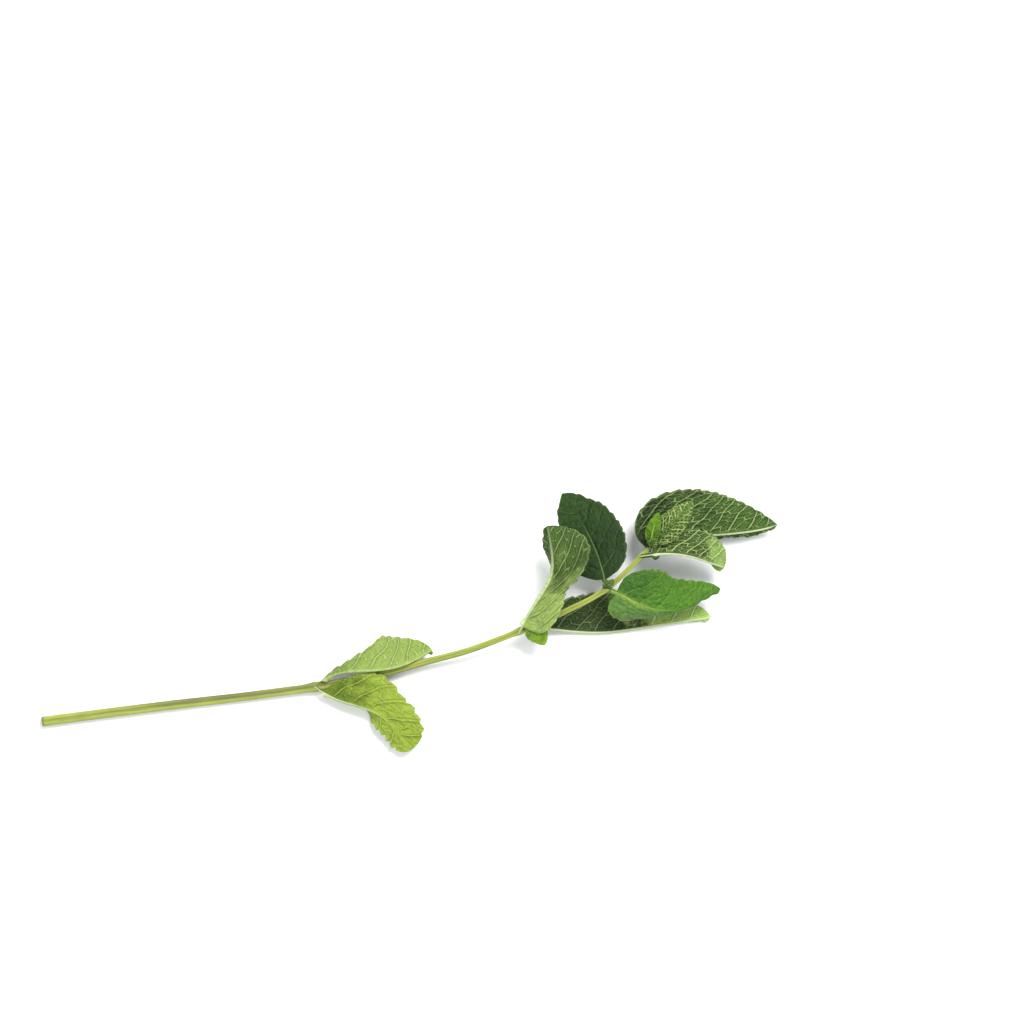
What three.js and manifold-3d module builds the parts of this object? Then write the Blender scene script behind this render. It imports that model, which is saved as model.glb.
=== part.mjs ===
// One cut spearmint sprig lying on a table: a square stem, four pairs of opposite leaves and a leafy tip.
// Millimetres, +Z up. The table is the plane z = 0, and +X runs along the sprig from its cut end to its tip.
// Left is the +Y side and right the -Y side, for someone who looks along the stem towards the tip.
import * as THREE from "three";
import { mergeVertices } from "three/addons/utils/BufferGeometryUtils.js";
import Module from "manifold-3d";

const wasm = await Module();
wasm.setup();

const DEGREE = Math.PI / 180;

// The stem: where its centreline runs in plan, how far its underside is above the table, and half its width.
// It lies flat on the table from the cut end for about 60 mm, then the leaves below it hold it up.
const STEM_ROUTE = [
  { x: -120.8, y: 5.2, lift: 0, half: 1.6 },
  { x: -104.9, y: 3.1, lift: 0, half: 1.55 },
  { x: -78.6, y: -0.5, lift: 0, half: 1.5 },
  { x: -59.2, y: -3.4, lift: 0, half: 1.42 },
  { x: -33.2, y: -6.7, lift: 0.9, half: 1.3 },
  { x: -13.4, y: -8.1, lift: 2.0, half: 1.18 },
  { x: 4.6, y: -8.1, lift: 3.6, half: 1.1 },
  { x: 17.8, y: -8.05, lift: 5.4, half: 1.05 },
  { x: 34.7, y: -6.3, lift: 8, half: 1.0 },
  { x: 49.7, y: -4.1, lift: 10, half: 0.92 },
  { x: 64.8, y: -0.5, lift: 12.2, half: 0.87 },
  { x: 78.4, y: 6.8, lift: 15.4, half: 0.8 },
  { x: 81.2, y: 8.6, lift: 16.8, half: 0.66 },
];
// Which points of the route are joints, where a pair of leaves grows: pairs 1 to 4.
const JOINTS = [4, 8, 10, 11];
// How far apart its rows of points are, and how much and how far along it swells at a joint.
const STEM_STEP = 8;
const JOINT_SWELL = 0.3;
const JOINT_REACH = 1.7;
const JOINT_ROWS = [-2.6, -1.4, -0.5, 0.5, 1.4, 2.6];
// The stem's section on a half width of 1: a square with cut corners, grooved sides and a flat underside.
const CORNER = 0.62;
const GROOVE = 0.9;
const STEM_SECTION = [
  [1, -CORNER], [GROOVE, 0], [1, CORNER],
  [CORNER, 1], [0, GROOVE], [-CORNER, 1],
  [-1, CORNER], [-GROOVE, 0], [-1, -CORNER],
  [-CORNER, -1], [CORNER, -1],
];
// Air between a leaf stalk's root and the stem.
const ROOT_GAP = 0.3;

// Every leaf: the stalk, the blade's thickness, the rib under it, and where the cross section has its points.
const STALK_LENGTH = 3.5;
const STALK_HALF = 0.75;
const STALK_THICKNESS = 1.3;
const BLADE_THICKNESS = 0.62;
const RIB_DEPTH = 0.7;
const RIB_HALF = 0.7;
const TIP_HALF = 0.3;
const ACROSS = [-1, -0.66, -0.3, -0.08, 0, 0.08, 0.3, 0.66, 1];
const ACROSS_YOUNG = [-1, -0.4, 0, 0.4, 1];
// Where half the leaf is narrower than this range of widths, at its stalk and its tip, it no longer folds.
const NARROW = [0.6, 4.6];
const EVEN = [1, 1];
const UNSWEPT = [0, 0];
// A leaf whose two halves are alike and whose edges are not swept. A leaf below states only what differs.
const PLAIN_HALVES = { leftWidth: EVEN, rightWidth: EVEN, sweepLeft: UNSWEPT, sweepRight: UNSWEPT };
// The edge's teeth: where along a tooth its peak stands, and its height on a leaf 24 mm wide.
const TOOTH_PEAK = 0.7;
const TOOTH_DEPTH = 0.75;
// Side veins: how fast they run forward, and the height of the blisters between them.
const VEIN_LEAN = 0.62;
const VEIN_BEND = 0.035;
const VEIN_SPACING = 5.4;
const BLISTER = 0.5;
const SPINE_STEPS = 160;
// How gently a blade that meets the table is bent up by it.
const SOFT_CONTACT = 0.35;

// The leaves. Every row of numbers is evenly spaced along the leaf from its root to its tip, in degrees.
// heading goes from +X towards +Y, pitch above the table, and roll 180 has the pale underside up.
// leftWidth and rightWidth make one half of the blade narrower than the other,
// and sweepLeft and sweepRight carry its edge towards the leaf's tip, so much for each mm out from the rib.
// left and right say how far each half of the blade folds at the rib, towards the leaf's upper face,
// and curlLeft and curlRight how far it goes on turning from the rib to its edge.
// shape holds two powers: the smaller the first, the broader the base, and the smaller the second, the
// blunter the tip. A lobe is a bit of the folded half that shows beside the base, from that share of the rib.
const LEAVES = {
  leaf_1_right: {
    joint: 0, length: 38.5, half: 12.2, shape: [0.5, 0.5], teeth: 12, relief: 0.6,
    wave: 0.4, waves: 2, waveStart: 0.3,
    leftWidth: [0.5, 0.5, 0.4, 0.34, 0.34, 0.5], rightWidth: [0.75, 0.72, 0.82, 0.95, 0.76, 0.82, 1],
    heading: [-52, -41, -30, -36, -56, -72, -76], pitch: [26, 18, 6, -2, -6, -8, -6],
    roll: [174, 172, 172, 176, 180],
    left: [70, 132, 128, 70, 16, 8, 8], right: [8, 6, 4, -12, -28, -26, -10],
    curlLeft: [6, 6, 6, 10, 8, 4], curlRight: [0, 4, 12, 50, 70, 60, 20],
  },
  leaf_1_left: {
    joint: 0, length: 41, half: 10.2, shape: [0.5, 0.5], teeth: 11, relief: 0.6,
    wave: 0.5, waves: 2.5, waveStart: 0,
    leftWidth: [0.4, 0.5, 0.7, 0.7], rightWidth: [0.2, 0.24, 0.56, 1.08, 1.05, 1],
    heading: [28, 8, -9, -13, -2, 12, 18], pitch: [30, 18, 2, -4, -4, -2], roll: [200, 184, 180, 178],
    left: [60, 126, 136, 138, 130, 90], right: [10, 12, 16, 18, 18, 14],
    curlLeft: [6, 6, 6], curlRight: [4, 4, 4],
  },
  leaf_2_upper: {
    joint: 1, length: 41, half: 13.4, shape: [0.3, 0.45], teeth: 14, relief: 0.6,
    wave: 0.3, waves: 2, waveStart: 0.1,
    leftWidth: [0.9, 0.72, 0.66, 0.68, 0.88, 1.13, 0.8], rightWidth: [0.5, 0.5, 0.6, 0.7, 0.75, 0.8, 0.8],
    heading: [49, 46, 43, 46, 72, 84, 84], pitch: [44, 40, 28, 14, -4, -20, -44], roll: [180, 180, 180, 180],
    left: [0, 0, 26, 44, 24, 0, -4], right: [80, 124, 116, 104, 86, 76, 60],
    curlLeft: [-8, -6, 4, 4, -4, -6], curlRight: [4, 4, 4],
    sweepLeft: [-0.2, -0.1, 0, 0, 0, 0, 0],
    lobe: {
      from: 0.1, length: 10.5, half: 3.4, fold: 6,
      heading: [-40, -66, -80], pitch: [-4, -16, -26], roll: [0, 0, 0],
    },
  },
  leaf_2_lower: {
    joint: 1, length: 63.5, half: 12.6, shape: [0.62, 0.7], teeth: 16, relief: 0.7,
    wave: 0.3, waves: 2.5, waveStart: 0.6, leftWidth: [1, 1, 1, 0.9, 0.6, 0.4],
    heading: [-2, -20, -19, -9, -6, -7, -7], pitch: [-32, -24, -4, 1, 1, 2, 3], roll: [180, 180, 180],
    left: [90, 140, 148, 132, 60], right: [6, 0, -3, -3, -2],
    curlLeft: [0, 0, 0], curlRight: [2, 2, 2],
  },
  leaf_3_right: {
    joint: 2, length: 40, half: 12.2, shape: [0.36, 0.72], teeth: 13, relief: 0.8,
    wave: 0.4, waves: 2, waveStart: 0.2, rightWidth: [1.1, 0.72, 0.88, 0.84, 0.56, 0.4],
    sweepRight: [-0.3, -0.22, -0.05, 0, 0],
    heading: [-30, -44, -36, -18, 4, 14, 16], pitch: [16, 6, -2, -8, -10, -10], roll: [0, -2, -4, -6],
    left: [12, 6, 0, -4, -8], right: [-10, -16, -34, -50, -50, -40],
    curlLeft: [-6, -8, -10, -10], curlRight: [-6, -12, -74, -146, -100, -30],
  },
  leaf_3_left: {
    joint: 2, length: 38, half: 10.5, shape: [0.5, 0.8], teeth: 12, relief: 0.9,
    wave: 1, waves: 3, waveStart: 0.4,
    heading: [84, 96, 104, 114], pitch: [-8, -30, -34, -10], roll: [0, 2, 4, 6],
    left: [-6, 2, 6, 8], right: [20, 14, 10, 8], curlLeft: [-10, -12], curlRight: [-14, -16],
  },
  leaf_4_upper: {
    joint: 3, length: 29.5, half: 8.8, shape: [0.6, 0.42], teeth: 11, relief: 0.8,
    wave: 0.5, waves: 2, waveStart: 0.8,
    heading: [-6, -10, -17, -26, -34, -32, -33], pitch: [20, 12, 0, -18, -34, -50], roll: [180, 180, 180],
    left: [60, 126, 130, 126, 90], right: [56, 26, 18, 12, 4],
    curlLeft: [6, 6], curlRight: [2, 2, 2, 0],
  },
  leaf_4_lower: {
    joint: 3, length: 48, half: 14.6, shape: [0.42, 0.76], teeth: 15, relief: 0.9,
    wave: 0.4, waves: 2.5, waveStart: 0.5, leftWidth: [0.45, 0.45],
    heading: [36, 14, -9, -13, -10, -6, 3], pitch: [-40, -26, -8, -4, -2, -2], roll: [180, 180, 180],
    left: [110, 96, 78, 74, 66], right: [4, 2, 2, 2, 2],
    curlLeft: [0, 0], curlRight: [4, 4],
  },
};

// The young leaves of the tip, from the stem's end: an outer pair and three tiny ones round the bud.
const TIP_LEAVES = [
  { length: 12.5, half: 2.2, heading: [72, 62, 54], pitch: [38, 30, 14], roll: [0, 0, 0], fold: 40 },
  { length: 21, half: 4.4, heading: [30, 32, 34], pitch: [32, 20, 6], roll: [180, 180, 180], fold: 34 },
  { length: 6, half: 1.6, heading: [40, 50, 60], pitch: [68, 60, 50], roll: [180, 180, 180], fold: 40 },
];
// The bud they stand round: half its length, and how far its middle is beyond the stem's end.
const BUD_CORE = 1.05;
const BUD_AHEAD = 1.3;
// The side buds, tiny folded leaves that stand in the crooks of the leaf stalks.
const BUDS = [
  { joint: 2, heading: 76, pitch: 52, length: 5.5 },
  { joint: 2, heading: 40, pitch: 46, length: 6 },
];
const BUD_HALF = 1.25;
const BUD_FOLD = 38;

const COLOURS = {
  stem: 0x8f9a45,
  youngLeaf: 0x74a83c,
  yellowLeaf: 0x93ad3f,
  leafTop: 0x3f7a2c,
  leafUnder: 0x7d9c55,
};

// The value at a share of the way along a row of evenly spaced values, joined by a smooth curve.
function along(values, share) {
  const last = values.length - 1;
  const x = Math.min(Math.max(share, 0), 1) * last;
  const i = Math.min(Math.floor(x), last - 1);
  const t = x - i;
  const a = values[Math.max(i - 1, 0)];
  const b = values[i];
  const c = values[i + 1];
  const d = values[Math.min(i + 2, last)];
  const slopeB = (c - a) / 2;
  const slopeC = (d - b) / 2;
  const rest = t * t * (3 - 2 * t);
  return b + (c - b) * rest + slopeB * t * (1 - t) * (1 - t) - slopeC * t * t * (1 - t);
}

// The directions of something that points at a heading and a pitch and is turned by a roll.
function directions(heading, pitch, roll) {
  const h = heading * DEGREE;
  const p = pitch * DEGREE;
  const r = roll * DEGREE;
  const ahead = new THREE.Vector3(Math.cos(p) * Math.cos(h), Math.cos(p) * Math.sin(h), Math.sin(p));
  const flatRight = new THREE.Vector3(Math.sin(h), -Math.cos(h), 0);
  const flatUp = new THREE.Vector3().crossVectors(flatRight, ahead);
  const left = flatRight.clone().multiplyScalar(-Math.cos(r)).addScaledVector(flatUp, -Math.sin(r));
  const face = flatUp.multiplyScalar(Math.cos(r)).addScaledVector(flatRight, -Math.sin(r));
  return { ahead, left, face };
}

// A closed mesh as a solid.
function solidFrom(positions, triangles) {
  return new wasm.Manifold(new wasm.Mesh({
    numProp: 3,
    vertProperties: new Float32Array(positions.flatMap((p) => [p.x, p.y, p.z])),
    triVerts: new Uint32Array(triangles.flat()),
  }));
}

// A solid as three.js geometry.
function geometryFrom(solid) {
  const mesh = solid.getMesh();
  const geometry = new THREE.BufferGeometry();
  geometry.setAttribute("position", new THREE.BufferAttribute(mesh.vertProperties, 3));
  geometry.setIndex(new THREE.BufferAttribute(mesh.triVerts, 1));
  const merged = mergeVertices(geometry, 1e-4);
  merged.computeVertexNormals();
  return merged;
}

// The largest of the separate bodies that a cut may leave.
function largestBody(solid) {
  const bodies = solid.decompose();
  return bodies.reduce((best, body) => (body.volume() > best.volume() ? body : best));
}

const stemCurve = new THREE.CatmullRomCurve3(
  STEM_ROUTE.map((p) => new THREE.Vector3(p.x, p.y, p.lift + p.half)), false, "catmullrom", 0.5,
);
const jointPoints = JOINTS.map((index) => stemCurve.points[index]);

// The stem's centre at a share of the route, as high as puts its flat underside at the lift of the route.
function stemCentre(t) {
  const centre = stemCurve.getPoint(t);
  centre.z = along(STEM_ROUTE.map((p) => p.lift), t) + along(STEM_ROUTE.map((p) => p.half), t);
  return centre;
}

// The stem's stations as shares of the route, closer together at the joints.
function stemStations() {
  const length = stemCurve.getLength();
  const last = STEM_ROUTE.length - 1;
  const stations = [];
  const count = Math.round(length / STEM_STEP);
  for (let k = 0; k <= count; k++) stations.push(k / count);
  for (const joint of JOINTS) {
    for (const step of JOINT_ROWS) stations.push(joint / last + step / length);
  }
  const inside = stations.filter((t) => t >= 0 && t <= 1).sort((a, b) => a - b);
  return inside.filter((t, k) => k === 0 || t - inside[k - 1] > 0.3 / length);
}

// Half the stem's width at a share of the route, swollen at the joints.
function stemHalf(t) {
  const length = stemCurve.getLength();
  const last = STEM_ROUTE.length - 1;
  const plain = along(STEM_ROUTE.map((p) => p.half), t);
  const swell = JOINTS.reduce((sum, joint) => {
    const away = (t - joint / last) * length / JOINT_REACH;
    return sum + Math.exp(-away * away);
  }, 0);
  return plain * (1 + JOINT_SWELL * swell);
}

// The stem, or with extra the same shape that much thicker and longer, to cut leaf stalks back with.
function stemSolid(extra) {
  const stations = stemStations();
  const around = STEM_SECTION.length;
  const positions = [];
  stations.forEach((t, k) => {
    const ahead = stemCurve.getTangent(t);
    const heading = Math.atan2(ahead.y, ahead.x) / DEGREE;
    const pitch = Math.asin(ahead.z) / DEGREE;
    const { left, face } = directions(heading, pitch, 0);
    const centre = stemCentre(t);
    if (k === stations.length - 1) centre.addScaledVector(ahead, extra);
    const half = stemHalf(t) + extra;
    for (const [side, up] of STEM_SECTION) {
      const point = centre.clone().addScaledVector(left, -side * half).addScaledVector(face, up * half);
      if (extra === 0) point.z = Math.max(point.z, 0);
      positions.push(point);
    }
  });
  const triangles = [];
  const rows = stations.length;
  for (let k = 0; k < rows - 1; k++) {
    for (let i = 0; i < around; i++) {
      const a = k * around + i;
      const b = k * around + ((i + 1) % around);
      triangles.push([a, b, b + around], [a, b + around, a + around]);
    }
  }
  const ends = THREE.ShapeUtils.triangulateShape(STEM_SECTION.map(([x, y]) => new THREE.Vector2(x, y)), []);
  const top = (rows - 1) * around;
  for (const [a, b, c] of ends) {
    triangles.push([a, c, b], [top + a, top + b, top + c]);
  }
  const solid = solidFrom(positions, triangles);
  return solid.volume() > 0 ? solid : solidFrom(positions, triangles.map(([a, b, c]) => [a, c, b]));
}

// Points along the leaf's rib, from its root on the stem's centreline.
function spine(leaf) {
  const step = leaf.length / SPINE_STEPS;
  const points = [leaf.root.clone()];
  for (let k = 0; k < SPINE_STEPS; k++) {
    const share = (k + 0.5) / SPINE_STEPS;
    const { ahead } = directions(along(leaf.heading, share), along(leaf.pitch, share), 0);
    points.push(points[k].clone().addScaledVector(ahead, step));
  }
  return points;
}

// How far the edge stands out at a share of the blade: teeth that rise slowly and drop back towards the tip.
function tooth(leaf, blade) {
  const phase = blade * leaf.teeth - Math.floor(blade * leaf.teeth);
  const rise = phase < TOOTH_PEAK ? phase / TOOTH_PEAK : (1 - phase) / (1 - TOOTH_PEAK);
  const fade = THREE.MathUtils.smoothstep(blade, 0.04, 0.14) * THREE.MathUtils.smoothstep(1 - blade, 0, 0.08);
  return TOOTH_DEPTH * (leaf.half / 12) * rise * fade;
}

// Half the blade's width at a share of the blade.
function outline(leaf, blade) {
  const [base, tip] = leaf.shape;
  const widest = base / (base + tip);
  const most = widest ** base * (1 - widest) ** tip;
  const open = Math.max(blade, 0) ** base * Math.max(1 - blade, 0) ** tip / most;
  const stalk = THREE.MathUtils.lerp(Math.min(STALK_HALF, leaf.half * 0.3), TIP_HALF, Math.max(blade, 0));
  return Math.hypot(stalk, leaf.half * open);
}

// How high the blade bulges between its side veins, at a distance along it and out from the rib.
function blister(leaf, distance, out, blade) {
  const phase = (distance - VEIN_LEAN * out - VEIN_BEND * out * out) / VEIN_SPACING;
  const edge = Math.min(out / Math.max(outline(leaf, blade), 0.01), 1);
  const fade = THREE.MathUtils.smoothstep(edge, 0, 0.25) * (1 - 0.6 * edge * edge);
  const grown = fade * THREE.MathUtils.smoothstep(blade, 0, 0.12);
  return BLISTER * leaf.relief * (leaf.half / 12) * Math.abs(Math.sin(Math.PI * phase)) * grown;
}

// The upper face of a leaf as rows of points, each row from the right edge to the left edge.
function upperFace(leaf) {
  const points = spine(leaf);
  const stalk = Math.min(STALK_LENGTH, leaf.length * 0.12);
  const shares = [0, 0.5, 1].map((x) => x * stalk / leaf.length);
  for (let k = 0; k < leaf.teeth; k++) {
    for (const phase of k === 0 ? [0.3, TOOTH_PEAK] : [0, TOOTH_PEAK]) {
      shares.push((stalk + (leaf.length - stalk) * (k + phase) / leaf.teeth) / leaf.length);
    }
  }
  shares.push(1 - 0.1 * (1 - stalk / leaf.length) / leaf.teeth, 1);
  return shares.map((share) => {
    const distance = share * leaf.length;
    const blade = (distance - stalk) / (leaf.length - stalk);
    const x = share * SPINE_STEPS;
    const k = Math.min(Math.floor(x), SPINE_STEPS - 1);
    const centre = points[k].clone().lerp(points[k + 1], x - k);
    const { ahead, left, face } = directions(
      along(leaf.heading, share), along(leaf.pitch, share), along(leaf.roll, share),
    );
    const half = outline(leaf, blade);
    const broad = THREE.MathUtils.smoothstep(half, NARROW[0], NARROW[1]);
    const row = leaf.across.map((u) => {
      const side = Math.sign(u);
      const edge = u === 1 || u === -1 ? tooth(leaf, blade) : 0;
      const width = half * along(side > 0 ? leaf.leftWidth : leaf.rightWidth, share);
      const out = Math.abs(u) * width + edge;
      const lift = broad * along(side > 0 ? leaf.left : leaf.right, share) * DEGREE;
      const curl = broad * along(side > 0 ? leaf.curlLeft : leaf.curlRight, share) * DEGREE;
      const swing = 2 * Math.PI * (leaf.waves * blade + leaf.waveStart) + side;
      const wave = broad * leaf.wave * Math.sin(swing) * u * u;
      const turn = curl * Math.abs(u);
      const mean = lift + turn / 2;
      const bow = Math.abs(turn) > 1e-4 ? Math.sin(turn / 2) / (turn / 2) : 1;
      const raise = broad * blister(leaf, distance, out, blade) + wave;
      const tilt = lift + turn;
      const sweep = along(side > 0 ? leaf.sweepLeft : leaf.sweepRight, share) * Math.abs(u) * broad;
      return centre.clone()
        .addScaledVector(ahead, sweep * out)
        .addScaledVector(left, side * (out * bow * Math.cos(mean) - raise * Math.sin(tilt)))
        .addScaledVector(face, out * bow * Math.sin(mean) + raise * Math.cos(tilt));
    });
    return { row, blade, half, broad, face };
  });
}

// The direction that the upper face looks in at each of its points. A narrow row has one throughout.
function faceNormals(rows) {
  return rows.map(({ row, broad, face }, j) => row.map((point, i) => {
    const before = rows[Math.max(j - 1, 0)].row[i];
    const after = rows[Math.min(j + 1, rows.length - 1)].row[i];
    const right = row[Math.max(i - 1, 0)];
    const left = row[Math.min(i + 1, row.length - 1)];
    const lengthwise = after.clone().sub(before);
    const normal = lengthwise.cross(left.clone().sub(right)).normalize();
    return normal.multiplyScalar(broad).addScaledVector(face, 1 - broad).normalize();
  }));
}

// The blade's thickness at a share of the width: a rib along the middle, and a round stalk below the blade.
function thickness(leaf, blade, half, u) {
  const out = Math.abs(u) * half;
  const size = Math.min(leaf.half / 9, 1);
  const stalk = STALK_THICKNESS * size * Math.sqrt(1 - 0.75 * u * u);
  const rib = RIB_DEPTH * size * Math.exp(-((out / RIB_HALF) ** 2)) * (1 - 0.7 * Math.max(blade, 0));
  const share = THREE.MathUtils.smoothstep(blade, -0.02, 0.1);
  return THREE.MathUtils.lerp(Math.max(stalk, BLADE_THICKNESS), BLADE_THICKNESS + rib, share);
}

// A leaf as a closed solid: its upper face, the lower face under it, and the edge between them.
function leafSolid(leaf) {
  const rows = upperFace(leaf);
  const depth = rows.map(({ blade, half }) => leaf.across.map((u) => thickness(leaf, blade, half, u)));
  // Where the blade would reach into the table, the table bends it up.
  faceNormals(rows).forEach((normals, j) => normals.forEach((normal, i) => {
    const point = rows[j].row[i];
    const floor = Math.max(0, depth[j][i] * normal.z);
    const above = point.z - floor;
    point.z = floor + (above + Math.hypot(above, SOFT_CONTACT)) / 2;
  }));
  const normals = faceNormals(rows);
  const columns = leaf.across.length;
  const upper = rows.flatMap(({ row }) => row);
  const lower = rows.flatMap(({ row }, j) => row.map((point, i) => {
    const under = point.clone().addScaledVector(normals[j][i], -depth[j][i]);
    under.z = Math.max(under.z, 0);
    return under;
  }));
  const below = upper.length;
  const triangles = [];
  const quad = (a, b, c, d) => triangles.push([a, b, c], [a, c, d]);
  for (let j = 0; j < rows.length - 1; j++) {
    for (let i = 0; i < columns - 1; i++) {
      const a = j * columns + i;
      const b = a + columns;
      quad(a, b, b + 1, a + 1);
      triangles.push([below + a, below + b + 1, below + b], [below + a, below + a + 1, below + b + 1]);
    }
    const right = j * columns;
    const left = right + columns - 1;
    quad(left, left + columns, below + left + columns, below + left);
    quad(right, below + right, below + right + columns, right + columns);
  }
  const tip = (rows.length - 1) * columns;
  for (let i = 0; i < columns - 1; i++) {
    quad(i, i + 1, below + i + 1, below + i);
    quad(tip + i, below + tip + i, below + tip + i + 1, tip + i + 1);
  }
  return solidFrom([...upper, ...lower], triangles);
}

// A small folded leaf of the tip or of a side bud, which has fewer teeth and no wave.
function youngLeaf(root, { length, half, heading, pitch, roll, fold }) {
  return leafSolid({
    root, length, half, heading, pitch, roll, shape: [0.5, 0.85], across: ACROSS_YOUNG, ...PLAIN_HALVES,
    teeth: Math.max(3, Math.round(length / 2.6)), relief: 0.5, wave: 0, waves: 1, waveStart: 0,
    left: [fold, fold], right: [fold, fold],
    curlLeft: [-fold * 0.5, -fold * 0.5], curlRight: [-fold * 0.5, -fold * 0.5],
  });
}

function mesh(name, solid, colour, roughness) {
  const material = new THREE.MeshStandardMaterial({ color: colour, roughness, metalness: 0 });
  const made = new THREE.Mesh(geometryFrom(solid), material);
  made.name = name;
  return made;
}

function stemMesh() {
  const buds = BUDS.map(({ joint, heading, pitch, length }) => youngLeaf(jointPoints[joint], {
    length, half: BUD_HALF, heading: [heading, heading], pitch: [pitch + 8, pitch - 6], roll: [180, 180],
    fold: BUD_FOLD,
  }));
  const solid = buds.reduce((sum, bud) => sum.add(bud), stemSolid(0));
  return mesh("stem", largestBody(solid), COLOURS.stem, 0.6);
}

function leafMesh(name, leaf, cutter) {
  const whole = { ...PLAIN_HALVES, ...leaf, across: ACROSS, root: jointPoints[leaf.joint] };
  const lobes = (leaf.lobe ? [leaf.lobe] : []).map((lobe) => (
    youngLeaf(spine(whole)[Math.round(lobe.from * SPINE_STEPS)], lobe)
  ));
  const grown = lobes.reduce((sum, lobe) => sum.add(lobe), leafSolid(whole));
  const turned = leaf.roll[leaf.roll.length - 1] > 90;
  const colour = leaf.joint === 0 ? COLOURS.yellowLeaf : turned ? COLOURS.leafUnder : COLOURS.leafTop;
  return mesh(name, largestBody(grown.subtract(cutter)), colour, 0.55);
}

function tipMesh(cutter) {
  const root = stemCentre(1);
  const ahead = stemCurve.getTangent(1);
  const core = new THREE.SphereGeometry(BUD_CORE, 8, 6);
  core.scale(1, 0.75, 0.75);
  core.rotateY(-Math.asin(ahead.z));
  core.rotateZ(Math.atan2(ahead.y, ahead.x));
  const heart = root.clone().addScaledVector(ahead, BUD_AHEAD);
  core.translate(heart.x, heart.y, heart.z);
  core.deleteAttribute("normal");
  core.deleteAttribute("uv");
  const ball = mergeVertices(core, 1e-4);
  const bud = new wasm.Manifold(new wasm.Mesh({
    numProp: 3, vertProperties: ball.attributes.position.array, triVerts: new Uint32Array(ball.index.array),
  }));
  const leaves = TIP_LEAVES.map((leaf) => youngLeaf(root.clone().addScaledVector(ahead, 1), leaf));
  const grown = leaves.reduce((sum, leaf) => sum.add(leaf), bud);
  return mesh("shoot_tip", largestBody(grown.subtract(cutter)), COLOURS.youngLeaf, 0.55);
}

const cutter = stemSolid(ROOT_GAP);
const pieces = [
  stemMesh(),
  ...Object.entries(LEAVES).map(([name, leaf]) => leafMesh(name, leaf, cutter)),
  tipMesh(cutter),
];

// The middle of the sprig's bounding box comes to stand over the origin.
const bounds = new THREE.Box3();
for (const piece of pieces) bounds.union(new THREE.Box3().setFromObject(piece));
const middle = bounds.getCenter(new THREE.Vector3());
for (const piece of pieces) piece.geometry.translate(-middle.x, -middle.y, -bounds.min.z);

const sprig = new THREE.Group();
sprig.name = "spearmint_sprig";
sprig.add(...pieces);

export default sprig;
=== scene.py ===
# %% [markdown]
# # A spearmint sprig on a pale table
#
# This lesson dresses the solid model of one cut spearmint sprig. The solids say where each leaf lies and how
# far it reaches. Here each leaf becomes a thin blade with raised veins and a finely toothed edge, and the stem
# gets rounded corners and a slightly hollow cut end. The first cell loads the solid model, which stays fixed.

# %% Load the model
import math

import bpy
import numpy as np
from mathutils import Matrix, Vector


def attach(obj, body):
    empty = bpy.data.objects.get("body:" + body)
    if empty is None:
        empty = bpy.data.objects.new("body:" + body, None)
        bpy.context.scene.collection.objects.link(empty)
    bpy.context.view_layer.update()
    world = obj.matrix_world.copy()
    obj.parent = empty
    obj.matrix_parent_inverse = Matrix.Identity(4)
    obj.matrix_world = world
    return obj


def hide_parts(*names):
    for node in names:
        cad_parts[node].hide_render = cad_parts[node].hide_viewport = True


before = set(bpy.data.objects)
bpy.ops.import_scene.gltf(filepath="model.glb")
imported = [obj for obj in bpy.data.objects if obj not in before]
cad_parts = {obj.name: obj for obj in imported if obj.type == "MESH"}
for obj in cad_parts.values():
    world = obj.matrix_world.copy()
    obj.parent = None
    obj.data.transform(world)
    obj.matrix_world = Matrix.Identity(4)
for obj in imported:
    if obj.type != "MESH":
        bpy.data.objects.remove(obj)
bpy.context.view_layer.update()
print("nodes:", ", ".join(sorted(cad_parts)))

# %% [markdown]
# ## Sizes and places
#
# Lengths are in millimetres while the shapes are worked out, and each mesh is written in metres. The solid
# model is centred over its box, so one small shift takes a point of the sprig's own drawing to its place.

# %% Units and the shift
MM = 0.001
SHIFT = np.array([-1.0472, 0.8490, 0.0])


def metres(points):
    return (points + SHIFT) * MM


# %% [markdown]
# ## The camera
#
# The photograph looks straight down at the table, so the camera hangs far above it with a long lens. The
# picture is turned 15 degrees to the sprig. It is 1024 steps wide, and each step shows 0.32 mm of what lies
# 8 mm above the table, which sets the lens.

# %% Camera
PICTURE_CENTRE = np.array([42.13, 31.12, 0.0])
PICTURE_STEPS = 1024
STEP_SIZE = 0.32
PICTURE_WIDTH = PICTURE_STEPS * STEP_SIZE
PICTURE_TURN = math.radians(-15)
SIGHT_HEIGHT = 8.0
CAMERA_HEIGHT = 2600.0
SENSOR_WIDTH = 36


def picture_point(right, up, height):
    """A point at so many mm right of and above the picture's centre, in metres."""
    cos, sin = math.cos(PICTURE_TURN), math.sin(PICTURE_TURN)
    offset = np.array([right * cos - up * sin, right * sin + up * cos, height])
    return Vector(metres(PICTURE_CENTRE + offset))


camera_data = bpy.data.cameras.new("camera")
camera_data.sensor_width = SENSOR_WIDTH
camera_data.lens = SENSOR_WIDTH * (CAMERA_HEIGHT - SIGHT_HEIGHT) / PICTURE_WIDTH
camera = bpy.data.objects.new("camera", camera_data)
camera.location = picture_point(0, 0, CAMERA_HEIGHT)
camera.rotation_euler = (0, 0, PICTURE_TURN)
bpy.context.scene.collection.objects.link(camera)
bpy.context.scene.camera = camera
print("lens:", round(camera_data.lens, 1), "mm")

# %% [markdown]
# ## Shader maths as Python
#
# A material is a graph of nodes. Written node by node it is long and hard to read, so a small class wraps
# one output socket and overloads the operators: `1 - mask * 0.5` then adds the Math nodes by itself.

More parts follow.
